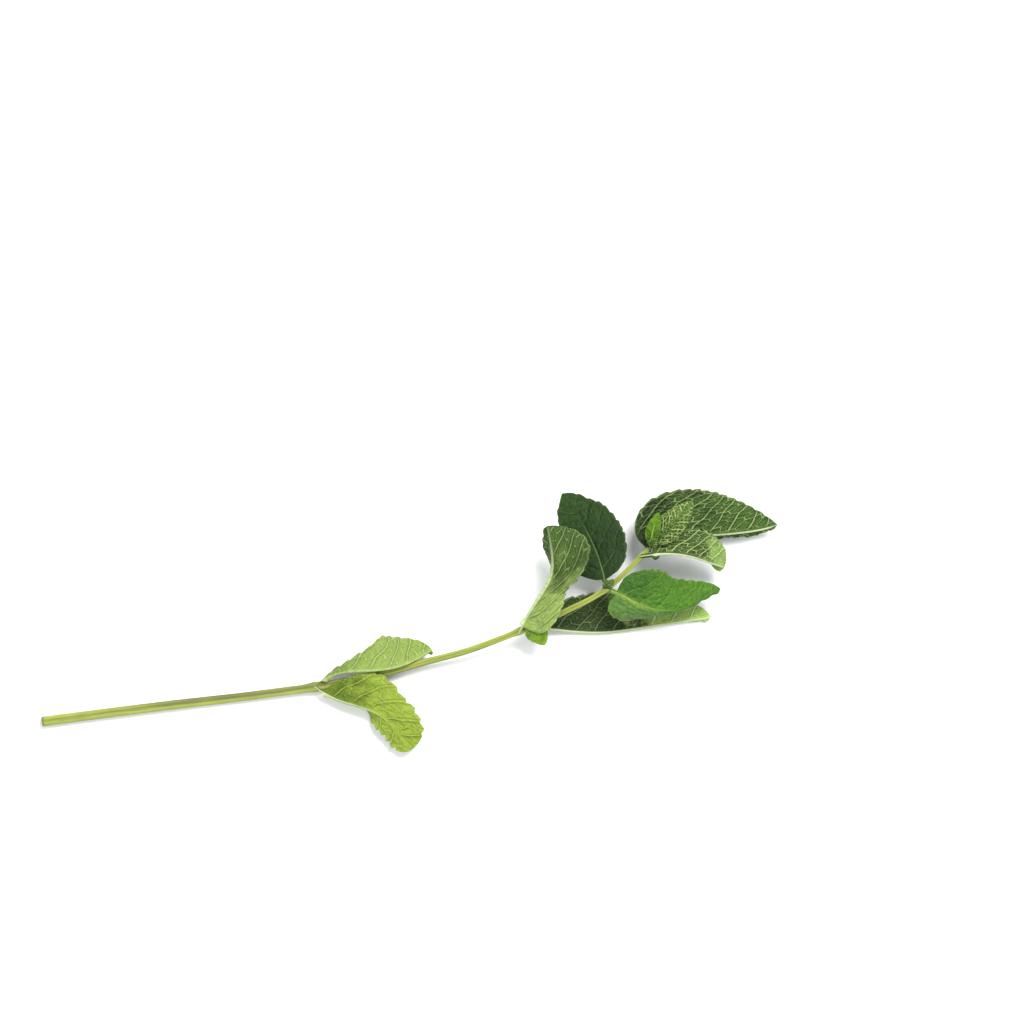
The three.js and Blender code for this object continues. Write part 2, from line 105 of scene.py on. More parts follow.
# %% Sockets with operators
class Wire:
    """One output of a node. Arithmetic on it adds Math nodes."""

    def __init__(self, shader, socket):
        self.shader = shader
        self.socket = socket

    def maths(self, operation, *values):
        return self.shader.node("ShaderNodeMath", {"operation": operation}, dict(enumerate(values)))

    def __add__(self, other):
        return self.maths("ADD", self, other)

    def __radd__(self, other):
        return self.maths("ADD", other, self)

    def __sub__(self, other):
        return self.maths("SUBTRACT", self, other)

    def __rsub__(self, other):
        return self.maths("SUBTRACT", other, self)

    def __mul__(self, other):
        return self.maths("MULTIPLY", self, other)

    def __rmul__(self, other):
        return self.maths("MULTIPLY", other, self)

    def __truediv__(self, other):
        return self.maths("DIVIDE", self, other)

    def __pow__(self, other):
        return self.maths("POWER", self, other)

    def clamp(self):
        return self.maths("MINIMUM", self.maths("MAXIMUM", self, 0.0), 1.0)

    def step(self, low, high):
        """A smooth step from 0 at low to 1 at high."""
        settings = {"interpolation_type": "SMOOTHSTEP"}
        inputs = {"Value": self, "From Min": low, "From Max": high}
        return self.shader.node("ShaderNodeMapRange", settings, inputs)

    def axis(self, index):
        """One part of a vector, such as its X."""
        return self.shader.node("ShaderNodeSeparateXYZ", {}, {"Vector": self}, index)


# %% A material's graph
class Shader:
    """The nodes of one material."""

    def __init__(self, name):
        self.material = bpy.data.materials.new(name)
        self.material.use_nodes = True
        self.tree = self.material.node_tree
        self.tree.nodes.clear()

    def node(self, kind, settings, inputs, output=0):
        """Adds a node: its type, its settings, then the values or wires of its sockets."""
        node = self.tree.nodes.new(kind)
        for name, value in settings.items():
            setattr(node, name, value)
        for key, value in inputs.items():
            if isinstance(value, Wire):
                self.tree.links.new(value.socket, node.inputs[key])
            else:
                node.inputs[key].default_value = value
        return Wire(self, node.outputs[output])

    def attribute(self, name, output=2):
        """What the mesh stores at each of its points. Output 1 is a vector and output 2 a number."""
        return self.node("ShaderNodeAttribute", {"attribute_name": name}, {}, output)

    def scaled(self, vector, scale):
        """A vector stretched by its own factor each way."""
        return self.node("ShaderNodeVectorMath", {"operation": "MULTIPLY"}, {0: vector, 1: scale})

    def noise(self, vector, scale, detail):
        """Soft random patches. The larger the scale, the smaller they are."""
        return self.node("ShaderNodeTexNoise", {}, {"Vector": vector, "Scale": scale, "Detail": detail})

    def cell_edges(self, vector, scale):
        """The distance to the nearest border between scattered cells."""
        settings = {"feature": "DISTANCE_TO_EDGE"}
        return self.node("ShaderNodeTexVoronoi", settings, {"Vector": vector, "Scale": scale})

    def mix(self, share, first, second):
        """A colour between two colours."""
        return self.node("ShaderNodeMix", {"data_type": "RGBA"}, {0: share, 6: first, 7: second}, 2)

    def scaled_colour(self, shade, factor):
        """The same colour, darker."""
        return self.mix(1 - factor, shade, colour(0.0, 0.0, 0.0))

    def bump(self, height, distance, strength):
        """Small bumps that only turn the light. The distance is in metres."""
        inputs = {"Height": height, "Distance": distance, "Strength": strength}
        return self.node("ShaderNodeBump", {}, inputs)

    def finish(self, inputs):
        """Ends the graph with the shader's own sockets."""
        surface = self.node("ShaderNodeBsdfPrincipled", {}, inputs)
        end = self.tree.nodes.new("ShaderNodeOutputMaterial")
        self.tree.links.new(surface.socket, end.inputs["Surface"])
        return self.material


def colour(red, green, blue):
    return (red, green, blue, 1.0)


# %% Functions for numbers, arrays and wires alike
def either(operation, plain):
    """A function that works on numpy arrays, and adds a Math node when it is given a wire."""
    def call(*values):
        wire = next((value for value in values if isinstance(value, Wire)), None)
        return plain(*values) if wire is None else wire.maths(operation, *values)
    return call


sine = either("SINE", np.sin)
whole = either("FLOOR", np.floor)
fraction = either("FRACT", lambda x: x - np.floor(x))
absolute = either("ABSOLUTE", np.abs)
sign = either("SIGN", np.sign)
square_root = either("SQRT", np.sqrt)
lesser = either("MINIMUM", np.minimum)
greater = either("MAXIMUM", np.maximum)
beyond = either("GREATER_THAN", lambda a, b: np.where(a > b, 1.0, 0.0))
print("sine of half a turn:", round(float(sine(math.pi)), 6))


# %% [markdown]
# ## Meshes
#
# Every piece of the sprig is made of grids of points, worked out with numpy. Numbers that the materials
# need, such as how far along its leaf a point lies, go into the mesh as attributes beside the points.

# %% Turn points and faces into a piece
def piece(name, points, faces, numbers, material, node):
    """A smooth mesh that rides on the sprig's body and may stand for a node of the solid model."""
    mesh = bpy.data.meshes.new(name)
    mesh.from_pydata(metres(points).tolist(), [], faces.tolist())
    mesh.polygons.foreach_set("use_smooth", np.ones(len(faces), bool))
    for key, values in numbers.items():
        wide = values.ndim == 2
        attribute = mesh.attributes.new(key, "FLOAT_VECTOR" if wide else "FLOAT", "POINT")
        attribute.data.foreach_set("vector" if wide else "value", values.astype(np.float32).ravel())
    mesh.materials.append(material)
    made = bpy.data.objects.new(name, mesh)
    bpy.context.scene.collection.objects.link(made)
    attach(made, "root")
    if node:
        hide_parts(node)
    print(name, len(points), "points,", len(faces), "faces")


# %% Grids of faces
def grid_faces(rows, columns, start=0, flip=False, wrap=False):
    """The four-sided faces of a grid whose points are numbered row by row."""
    row = np.arange(rows - 1)[:, None] * columns
    column = np.arange(columns if wrap else columns - 1)[None, :]
    after = (column + 1) % columns
    corners = [row + column, row + columns + column, row + columns + after, row + after]
    faces = start + np.stack([c.ravel() for c in np.broadcast_arrays(*corners)], 1)
    return faces[:, ::-1] if flip else faces


# %% [markdown]
# ## Curves along a leaf
#
# A leaf is described by short rows of numbers, evenly spaced from its root to its tip: which way its rib
# heads, how steeply it climbs, how it is rolled, and how each half folds and curls. These helpers turn such
# a row into a smooth curve, and angles into directions.

# %% Smooth rows and directions
def along(values, share):
    """The value at a share of the way along a row of evenly spaced values, joined by a smooth curve."""
    values = np.asarray(values, float)
    last = len(values) - 1
    x = np.clip(share, 0, 1) * last
    i = np.minimum(np.floor(x).astype(int), last - 1)
    t = x - i
    slope_here = (values[i + 1] - values[np.maximum(i - 1, 0)]) / 2
    slope_next = (values[np.minimum(i + 2, last)] - values[i]) / 2
    rest = t * t * (3 - 2 * t)
    rise = values[i] + (values[i + 1] - values[i]) * rest
    return rise + slope_here * t * (1 - t) ** 2 - slope_next * t * t * (1 - t)


def smooth(x, low, high):
    t = np.clip((x - low) / (high - low), 0, 1)
    return t * t * (3 - 2 * t)


def directions(heading, pitch, roll):
    """The ways ahead, left and up from the face of something that heads and is rolled so, in degrees."""
    h, p, r = (np.radians(np.asarray(angle, float)) for angle in (heading, pitch, roll))
    ahead = np.stack([np.cos(p) * np.cos(h), np.cos(p) * np.sin(h), np.sin(p)], -1)
    flat_right = np.stack([np.sin(h), -np.cos(h), 0 * h], -1)
    flat_up = np.cross(flat_right, ahead)
    cos, sin = np.cos(r)[..., None], np.sin(r)[..., None]
    return ahead, -cos * flat_right - sin * flat_up, cos * flat_up - sin * flat_right


# %% [markdown]
# ## The stem's route
#
# The stem lies on the table from its cut end and is held up by the leaves further on. Its centreline runs
# through a few points, each with the height of its underside and half its width. Four of the points are
# joints, where a pair of leaves grows.

# %% Route of the stem
STEM_ROUTE = np.array([
    [-120.8, 5.2, 0, 1.6],
    [-104.9, 3.1, 0, 1.55],
    [-78.6, -0.5, 0, 1.5],
    [-59.2, -3.4, 0, 1.42],
    [-33.2, -6.7, 0.9, 1.3],
    [-13.4, -8.1, 2.0, 1.18],
    [4.6, -8.1, 3.6, 1.1],
    [17.8, -8.05, 5.4, 1.05],
    [34.7, -6.3, 8, 1.0],
    [49.7, -4.1, 10, 0.92],
    [64.8, -0.5, 12.2, 0.87],
    [78.4, 6.8, 15.4, 0.8],
    [81.2, 8.6, 16.8, 0.66],
])
JOINTS = [4, 8, 10, 11]
LAST = len(STEM_ROUTE) - 1
route_points = np.column_stack([STEM_ROUTE[:, :2], STEM_ROUTE[:, 2] + STEM_ROUTE[:, 3]])
joint_points = route_points[JOINTS]


def stem_centre(t):
    """The stem's centre at a share of the route."""
    return np.stack([along(route_points[:, i], t) for i in range(3)], -1)


def stem_ahead(t):
    step = 1e-4
    way = stem_centre(np.minimum(t + step, 1)) - stem_centre(np.maximum(t - step, 0))
    return way / np.linalg.norm(way, axis=-1, keepdims=True)


fine_route = stem_centre(np.linspace(0, 1, 401))
stem_length = np.linalg.norm(np.diff(fine_route, axis=0), axis=1).sum()

# %% [markdown]
# ## The shape of a leaf
#
# Spearmint has oval leaves with teeth that lean towards the tip. Two powers give the outline: the smaller the
# first, the broader the base, and the smaller the second, the blunter the tip. No two teeth are quite alike.

# %% Outline and teeth
STALK_HALF = 0.75
STALK_MOST_HALF = 0.3
TIP_HALF = 0.3
USUAL_HALF = 12
TOOTH_PEAK = 0.74
TOOTH_ROUNDNESS = 0.6
TOOTH_DEPTH = 0.68
TOOTH_LEAST = 0.6
TOOTH_SPREAD = 0.5
TEETH_START = (0.04, 0.14)
TEETH_END = 0.08


def scatter(*keys):
    """A number from 0 to 1 that looks random but is always the same for the same keys."""
    mixed = sum(key * factor for key, factor in zip(keys, (12.9898, 78.233, 37.719, 9.137)))
    value = np.sin(mixed) * 43758.5453
    return value - np.floor(value)


def outline(leaf, blade):
    """Half the blade's width at a share of the blade."""
    base, tip = leaf["shape"]
    widest = base / (base + tip)
    most = widest**base * (1 - widest) ** tip
    ahead = np.maximum(blade, 0)
    open_half = ahead**base * np.maximum(1 - ahead, 0) ** tip / most
    stalk = min(STALK_HALF, leaf["half"] * STALK_MOST_HALF)
    return np.hypot(stalk + (TIP_HALF - stalk) * ahead, leaf["half"] * open_half)


def tooth(leaf, blade, side):
    """How far the edge stands out: rounded teeth that rise slowly and drop back towards the tip."""
    number = np.floor(blade * leaf["teeth"])
    phase = blade * leaf["teeth"] - number
    rising = (np.maximum(phase, 0) / TOOTH_PEAK) ** TOOTH_ROUNDNESS
    falling = (1 - phase) / (1 - TOOTH_PEAK)
    rise = np.where(phase < TOOTH_PEAK, rising, falling)
    uneven = TOOTH_LEAST + TOOTH_SPREAD * scatter(number, side, leaf["seed"])
    fade = smooth(blade, *TEETH_START) * smooth(1 - blade, 0, TEETH_END)
    return TOOTH_DEPTH * leaf.get("bite", 1.0) * leaf["half"] / USUAL_HALF * rise * uneven * fade


# %% [markdown]
# ## Veins
#
# Side veins leave the rib every few millimetres and curve towards the tip. Between two of them lie two uneven
# columns of six-sided cells, parted by a zigzag line. The blade bulges up in each cell, so veins are furrows
# on the upper face and ridges on the underside. The same formula shapes the mesh, point by point, and draws
# the lines in the material, pixel by pixel.

# %% Vein pattern
VEIN_SPACING = 6.2
VEIN_LEAN = 0.62
VEIN_BEND = 0.035
CELL_LENGTH = 2.9
LONG_SWAY = 0.5
SHORT_SWAY = 0.3
SIDE_SHIFT = 0.12
CELL_SHIFT = 0.5
ZIGZAG = 0.1
ZIGZAG_WANDER = 0.09


def veins(distance, out, side, seed, lean, scale):
    """Distances in mm to the nearest side vein and to the nearest border between cells."""
    spacing = VEIN_SPACING * scale
    long_sway = LONG_SWAY * sine(0.4 * distance + 2 * side + seed)
    sway = long_sway + SHORT_SWAY * sine(0.9 * out + 0.2 * distance + 3 * seed)
    start = distance - lean * out - VEIN_BEND * out * out + sway * lesser(out / 3, 1.0)
    phase = start / spacing + SIDE_SHIFT * side
    strip = whole(phase)
    inside = phase - strip
    slope = square_root(1 + (lean + 2 * VEIN_BEND * out) ** 2)
    width = spacing / slope
    side_gap = lesser(inside, 1 - inside) * width
    shuffle = sine(12.9 * strip + 7.1 * seed + 3.3 * side)
    up = out * slope / (CELL_LENGTH * scale) + CELL_SHIFT * shuffle
    up = up + 0.3 * sine(1.9 * up + 5 * shuffle) + CELL_SHIFT * shuffle * (inside - 0.5)
    zigzag = absolute(4 * fraction(up) - 2) - 1
    middle = 0.5 + ZIGZAG * zigzag + ZIGZAG_WANDER * sine(1.3 * up + 9 * shuffle)
    level = up + 0.5 * (1 - beyond(inside, middle))
    rung_gap = absolute(fraction(level + 0.5) - 0.5) * CELL_LENGTH * scale
    middle_gap = absolute(inside - middle) * width
    return side_gap, lesser(rung_gap, middle_gap)


def bell(distance, width):
    return np.exp(-((distance / width) ** 2))


# %% [markdown]
# ## A leaf as a thin blade
#
# The blade is worked out twice on a grid: once smooth, to know which way its face looks, and once with its
# teeth and the bulges between the veins. The upper face lies inside the solid leaf. The lower face lies a
# quarter of a millimetre under it, and more under rib and veins, and a rim joins the two. The columns stand
# closer near the rib. Folds and bulges fade out where half the blade's width falls from 4.6 mm to 0.6 mm.

# %% The rib's way through space
SPINE_STEPS = 160


def spine(leaf, root, share):
    """Points on the rib, which starts on the stem's centreline."""
    middles = (np.arange(SPINE_STEPS) + 0.5) / SPINE_STEPS
    ahead = directions(along(leaf["heading"], middles), along(leaf["pitch"], middles), 0 * middles)[0]
    steps = np.vstack([np.zeros(3), ahead * leaf["length"] / SPINE_STEPS])
    points = root + np.cumsum(steps, axis=0)
    x = share * SPINE_STEPS
    return np.stack([np.interp(x, np.arange(SPINE_STEPS + 1), points[:, i]) for i in range(3)], -1)


def sided(leaf, name, share, side, plain):
    """A row of numbers that differs between the left and the right half."""
    left = along(leaf.get(name[0], plain), share)[:, None]
    right = along(leaf.get(name[1], plain), share)[:, None]
    return np.where(side > 0, left, right)


# %% Fold the blade in space
STALK_LENGTH = 3.5
STALK_MOST_LENGTH = 0.12
NARROW = (0.6, 4.6)
LEAST_CURL = 1e-4


def blade_points(leaf, root, share, across, teeth, raised):
    """A face of the blade, and where on it each point lies. Columns run from the right edge to the left."""
    stalk = min(STALK_LENGTH, leaf["length"] * STALK_MOST_LENGTH)
    blade = (share * leaf["length"] - stalk) / (leaf["length"] - stalk)
    centre = spine(leaf, root, share)[:, None]
    rolled = along(leaf["roll"], share)
    ahead, left, face = directions(along(leaf["heading"], share), along(leaf["pitch"], share), rolled)
    half = outline(leaf, blade)
    broad = smooth(half, *NARROW)[:, None]
    side = np.sign(across)[None, :]
    reach = np.abs(across)[None, :]
    width = half[:, None] * sided(leaf, ("left_width", "right_width"), share, side, [1, 1])
    out = reach * width + teeth * tooth(leaf, blade[:, None], side) * smooth(reach, 0.8, 1)
    lift = np.radians(broad * sided(leaf, ("left", "right"), share, side, [0, 0]))
    turn = np.radians(broad * sided(leaf, ("curl_left", "curl_right"), share, side, [0, 0])) * reach
    sweep = sided(leaf, ("sweep_left", "sweep_right"), share, side, [0, 0]) * out * reach * broad
    swing = 2 * math.pi * (leaf["waves"] * blade[:, None] + leaf["wave_start"]) + side
    rise = raised * broad + broad * leaf["wave"] * np.sin(swing) * reach**2
    curled = np.abs(turn) > LEAST_CURL
    half_turn = np.where(curled, turn / 2, 1)
    bow = np.where(curled, np.sin(half_turn) / half_turn, 1)
    mean = lift + turn / 2
    tilt = lift + turn
    sideways = side * (out * bow * np.cos(mean) - rise * np.sin(tilt))
    upwards = out * bow * np.sin(mean) + rise * np.cos(tilt)
    points = centre + ahead[:, None] * sweep[..., None]
    points = points + left[:, None] * sideways[..., None] + face[:, None] * upwards[..., None]
    return points, out, blade, broad, face


def looks_towards(points, broad, face):
    """Which way the face looks at each point. Where the blade is narrow, all of a row looks one way."""
    lengthwise = np.gradient(points, axis=0)
    normal = np.cross(lengthwise, np.gradient(points, axis=1))
    normal = normal / np.maximum(np.linalg.norm(normal, axis=-1, keepdims=True), 1e-9)
    normal = normal * broad[..., None] + face[:, None] * (1 - broad[..., None])
    return normal / np.linalg.norm(normal, axis=-1, keepdims=True)


# %% Columns
RIB_CROWDING = 1.25


def columns_across(leaf, columns):
    """Where the columns stand, from -1 at the right edge to 1 at the left. A narrower half has fewer."""
    left_mean, right_mean = (np.mean(leaf.get(name, [1])) for name in ("left_width", "right_width"))
    left_columns = round(columns * left_mean / (left_mean + right_mean))
    right_steps = np.linspace(-1, 0, columns - left_columns + 1)
    steps = np.concatenate([right_steps[:-1], np.linspace(0, 1, left_columns + 1)])
    return np.sign(steps) * np.abs(steps) ** RIB_CROWDING


# %% Bulges between the veins
STRIP_BULGE = 0.5
STRIP_FURROW = 0.9
CELL_BULGE = 0.3
CELL_FURROW = 0.5
BULGE_LEVEL = 0.12


def bulges(leaf, reach, open_blade, side_gap, net_gap):
    """How far the blade bulges up, less towards its margin."""
    size = leaf["half"] / USUAL_HALF
    bulge = STRIP_BULGE * (1 - bell(side_gap, STRIP_FURROW)) + CELL_BULGE * (1 - bell(net_gap, CELL_FURROW))
    margin = smooth(reach, 0.86, 1.0)
    return leaf["relief"] * size * open_blade * (bulge - BULGE_LEVEL) * (1 - 0.5 * margin)


# %% Thickness, rib and veins
BLADE_THICKNESS = 0.26
RIB_DEPTH = 0.26
RIB_WIDTH = 0.27
RIB_NARROWING = 0.14
RIB_FLATTENING = 0.75
VEIN_DEPTH = 0.2
NET_DEPTH = 0.1
STALK_THICKNESS = 1.3
SMALL_STALK = 1.33
STALK_END = (-0.02, 0.1)


def thickness(leaf, across, blade, out, open_blade, side_gap, net_gap):
    """How thick the blade is at each point, and the rounded stalk before it."""
    size = leaf["half"] / USUAL_HALF
    tipward = np.clip(blade, 0, 1)[:, None]
    reach = np.abs(across)[None, :]
    rib = bell(out, RIB_WIDTH - RIB_NARROWING * tipward) * (1 - RIB_FLATTENING * tipward)
    vein = bell(side_gap, 0.3 - 0.12 * reach) * (1 - 0.5 * reach)
    net = bell(net_gap, 0.2)
    fine = leaf["relief"] * open_blade * (VEIN_DEPTH * vein + NET_DEPTH * net)
    thick = BLADE_THICKNESS + RIB_DEPTH * leaf.get("rib", 1.0) * min(size, 1) * rib + fine
    rounded = np.sqrt(np.maximum(1 - across**2, 0.02))[None, :]
    round_stalk = STALK_THICKNESS * min(size * SMALL_STALK, 1) * rounded
    stalk_share = smooth(blade, *STALK_END)[:, None]
    return round_stalk * (1 - stalk_share) + thick * stalk_share


# %% Upper and lower face
SKIN = 0.16
TABLE_SOFTNESS = 0.35
LOWEST = 0.02


def two_faces(upper, thick, normal):
    """The upper face, kept softly above the table and a little inside the solid leaf, and the lower one."""
    floor = np.maximum(0, (thick + SKIN) * normal[..., 2])
    above = upper[..., 2] - floor
    upper[..., 2] = floor + (above + np.hypot(above, TABLE_SOFTNESS)) / 2
    upper = upper - SKIN * normal
    lower = upper - thick[..., None] * normal
    lower[..., 2] = np.maximum(lower[..., 2], LOWEST)
    upper[..., 2] = np.maximum(upper[..., 2], LOWEST)
    return upper, lower


# %% The whole leaf
def leaf_mesh(leaf, root, rows, columns):
    """All points, faces and numbers of one leaf."""
    share = np.linspace(0, 1, rows + 1)
    across = columns_across(leaf, columns)
    side = np.sign(across)[None, :]
    flat, out, blade, broad, face = blade_points(leaf, root, share, across, 0, 0)
    normal = looks_towards(flat, broad, face)
    distance = (share * leaf["length"])[:, None]
    tipward = np.clip(blade, 0, 1)[:, None]
    reach = np.abs(across)[None, :]
    habit = np.array([leaf["seed"], leaf.get("lean", VEIN_LEAN), leaf.get("net", 1.0)])
    side_gap, net_gap = veins(distance, out, side, *habit)
    open_blade = smooth(tipward, 0, 0.12) * smooth(out, 0.15, 1.3)
    raised = bulges(leaf, reach, open_blade, side_gap, net_gap)
    bulged = blade_points(leaf, root, share, across, 1, raised)[0]
    thick = thickness(leaf, across, blade, out, open_blade, side_gap, net_gap)
    upper, lower = two_faces(bulged, thick, normal)
    count = upper[..., 0].size
    wide = columns + 1
    faces = [grid_faces(rows + 1, wide), grid_faces(rows + 1, wide, count, flip=True)]
    top = np.arange(count).reshape(rows + 1, wide)
    loop = np.concatenate([top[:, -1], top[-1, -2::-1], top[-2::-1, 0], top[0, 1:-1]])
    following = np.roll(loop, -1)
    faces.append(np.stack([loop, following, following + count, loop + count], 1))
    points = np.concatenate([upper.reshape(-1, 3), lower.reshape(-1, 3)])
    place = np.stack(np.broadcast_arrays(distance, out * side, 10 * leaf["seed"]), -1)
    where = np.stack(np.broadcast_arrays(tipward, reach * side, open_blade), -1)
    numbers = {
        "place": np.tile(place.reshape(-1, 3), (2, 1)),
        "where": np.tile(where.reshape(-1, 3), (2, 1)),
        "habit": np.tile(habit, (2 * count, 1)),
        "under": np.repeat([0.0, 1.0], count),
    }
    return points, np.concatenate(faces), numbers


# %% [markdown]
# ## What a leaf is made of
#
# The upper face of mint is deep green and slightly glossy, with veins sunk in it. The underside is paler and
# downy, with pale raised veins over darker cells. The mesh stores where on its leaf each point lies, and the
# material puts that through the vein formula, so the lines stay crisp. It also lets the colour change from
# root to tip, darkens the blade beside the veins, in the hollows of the cells and in its wrinkles with painted
# shade, paints a highlight along the fold near the root of the leaf that lies face up, and adds soft patches
# and a finer net.

# %% Leaf material
RIB_PALE = (0.50, 0.55, 0.32)
FROST_GREEN = (0.125, 0.25, 0.05)
CREST_HIGHLIGHT = (0.24, 0.38, 0.05)
WARM_BROWN = (0.22, 0.17, 0.03)
SHADE_FACTOR = 0.45
LEAF_BUMP = 0.0002


def leaf_material(
    name, under, under_tip, upper, upper_tip, vein_light, vein_share=(0.8, 0.85), rib_share=(0.9, 0.75),
    rib_width=1.0, turn=(0.35, 0.75), fine_share=0.15, frost_and_crest_highlight=0.0, warm=0.0,
):
    """A leaf's finish. Each face has a colour near its root and one near its tip.

    vein_share and rib_share say how pale veins and rib are near the root and near the tip, and turn says from
    where to where along the leaf the one colour gives way to the other. fine_share is the strength of the
    finest net, frost_and_crest_highlight that of the pale frosted half near the root and of a painted
    highlight along the fold beside the rib there, and warm that of brown patches.
    """
    s = Shader(name)
    place = s.attribute("place", 1)
    where = s.attribute("where", 1)
    habit = s.attribute("habit", 1)
    below = s.attribute("under")
    tipward = where.axis(0)
    reach = absolute(where.axis(1))
    open_blade = where.axis(2)
    out = absolute(place.axis(1))
    side = sign(place.axis(1))
    side_gap, net_gap = veins(place.axis(0), out, side, habit.axis(0), habit.axis(1), habit.axis(2))
    patches = s.noise(place, 0.16, 3.0).step(0.34, 0.66)
    wrinkles = s.noise(place, 0.75, 3.0).step(0.35, 0.65)
    grain = s.noise(place, 2.4, 3.0)
    finest = 1 - s.cell_edges(place, 1.05).step(0.0, 0.13)
    rib = 1 - out.step(0.05 * rib_width, rib_width * (0.3 - tipward * 0.14))
    rib_strength = rib_share[0] + tipward * (rib_share[1] - rib_share[0])
    side_line = (1 - side_gap.step(0.05, 0.28 - reach * 0.08)) * (1 - reach * 0.25)
    net_line = 1 - net_gap.step(0.03, 0.2)
    # Painted shade: darker in the hollows of the cells and in bands beside the side veins and the net.
    hollow_shade = net_gap.step(0.1, 0.8) * side_gap.step(0.15, 0.9)
    crease_shade = side_gap.step(0.2, 0.36) * (1 - side_gap.step(0.36, 0.9)) * open_blade
    net_crease_shade = net_gap.step(0.12, 0.24) * (1 - net_gap.step(0.24, 0.6)) * open_blade
    shade = greater(crease_shade, net_crease_shade * 0.7) * 0.65
    tip_share = (tipward + (patches - 0.5) * 0.25).step(*turn)
    strength = vein_share[0] + (vein_share[1] - vein_share[0]) * tip_share
    lines = greater(side_line, net_line * 0.62) * open_blade
    bottom = s.mix(tip_share, colour(*under), colour(*under_tip))
    # The hollows, the bands beside the veins and the wrinkles darken the underside as painted shade; the grain
    # is random tone.
    dark = hollow_shade * 0.15 + grain * 0.2 + wrinkles * 0.15 + shade
    bottom = s.mix(dark, bottom, s.scaled_colour(bottom, SHADE_FACTOR))
    bottom = s.mix(((lines + finest * fine_share) * strength).clamp(), bottom, colour(*vein_light))
    bottom = s.mix(rib * rib_strength, bottom, colour(*RIB_PALE))
    top = s.mix(tip_share, colour(*upper), colour(*upper_tip))
    rooted = (1 - tipward.step(0.25, 0.55)) * frost_and_crest_highlight
    top = s.mix((0.5 - side * 0.5) * rooted, top, colour(*FROST_GREEN))
    # Painted highlight: a pale band along the fold beside the rib near the root.
    top = s.mix((1 - out.step(0.3, 1.7)) * rooted * 0.65, top, colour(*CREST_HIGHLIGHT))
    # On the upper face the wrinkles darken the colour as painted shade; the patches and grain are random tone.
    dark = patches * 0.2 + grain * 0.3 + wrinkles * 0.4
    top = s.mix(dark, top, s.scaled_colour(top, SHADE_FACTOR))
    top_lines = (side_line * 0.3 + net_line * 0.08) * open_blade
    top_rib = (1 - out.step(0.06, 0.32 - tipward * 0.16)) * (1 - tipward.step(0.4, 0.75))
    top = s.mix(greater(top_lines, top_rib * 0.7).clamp(), top, colour(*vein_light))
    both = s.mix(below, top, bottom)
    both = s.mix(reach.step(0.93, 1.0) * 0.25, both, colour(*vein_light))
    browned = s.noise(place, 0.3, 4.0).step(0.52, 0.75) * warm
    both = s.mix(browned, both, colour(*WARM_BROWN))
    height = grain * 0.5 + wrinkles * 1.6 + (lines * 1.6 + finest * 0.3) * (below * 2 - 1)
    return s.finish({
        "Base Color": both,
        "Roughness": 0.48 + below * 0.2 + grain * 0.12,
        "Normal": s.bump(height, LEAF_BUMP, 0.7),
        "Subsurface Weight": 0.1,
        "Subsurface Radius": (0.4, 1.0, 0.15),
        "Subsurface Scale": 0.0008,
        "Specular IOR Level": 0.18,
    })


# %% Colours of the leaves
OLD_RIGHT = leaf_material(
    "yellowing leaf", (0.10, 0.16, 0.010), (0.27, 0.37, 0.040), (0.08, 0.14, 0.008), (0.18, 0.26, 0.014),
    (0.42, 0.50, 0.13), vein_share=(0.5, 0.35), rib_share=(0.95, 0.0), turn=(0.15, 0.5), warm=0.2,
)
OLD_LEFT = leaf_material(
    "pale leaf", (0.16, 0.24, 0.040), (0.26, 0.36, 0.072), (0.08, 0.17, 0.013), (0.13, 0.23, 0.022),
    (0.46, 0.55, 0.24), vein_share=(0.5, 0.55), rib_share=(0.4, 0.2), turn=(0.1, 0.5),
)
UPRIGHT = leaf_material(
    "arching leaf", (0.28, 0.39, 0.095), (0.045, 0.090, 0.014), (0.035, 0.09, 0.009), (0.055, 0.13, 0.012),
    (0.38, 0.48, 0.18), vein_share=(0.35, 0.42), rib_share=(0.95, 0.1), turn=(0.3, 0.72),
)
# The long leaf is darkened near its root as painted shade; its pale tip is its own paler underside, brightened
# further as painted light.
LONG = leaf_material(
    "long leaf", (0.030, 0.060, 0.011), (0.33, 0.50, 0.100), (0.03, 0.07, 0.008), (0.055, 0.12, 0.012),
    (0.62, 0.72, 0.40), vein_share=(0.22, 0.9), rib_share=(1.0, 0.9), rib_width=1.5, turn=(0.5, 0.78),
)
FACE_UP = leaf_material(
    "leaf that lies face up", (0.07, 0.12, 0.03), (0.11, 0.18, 0.04), (0.045, 0.135, 0.014),
    (0.078, 0.21, 0.017), (0.28, 0.38, 0.07), vein_share=(0.6, 0.6), turn=(0.15, 0.5), frost_and_crest_highlight=0.75,
)
# Painted shade: the shaded leaf's colours and veins are all darkened.
SHADED = leaf_material(
    "shaded leaf", (0.035, 0.07, 0.018), (0.06, 0.11, 0.028), (0.013, 0.040, 0.005), (0.022, 0.058, 0.008),
    (0.12, 0.18, 0.05), vein_share=(0.6, 0.6),
)
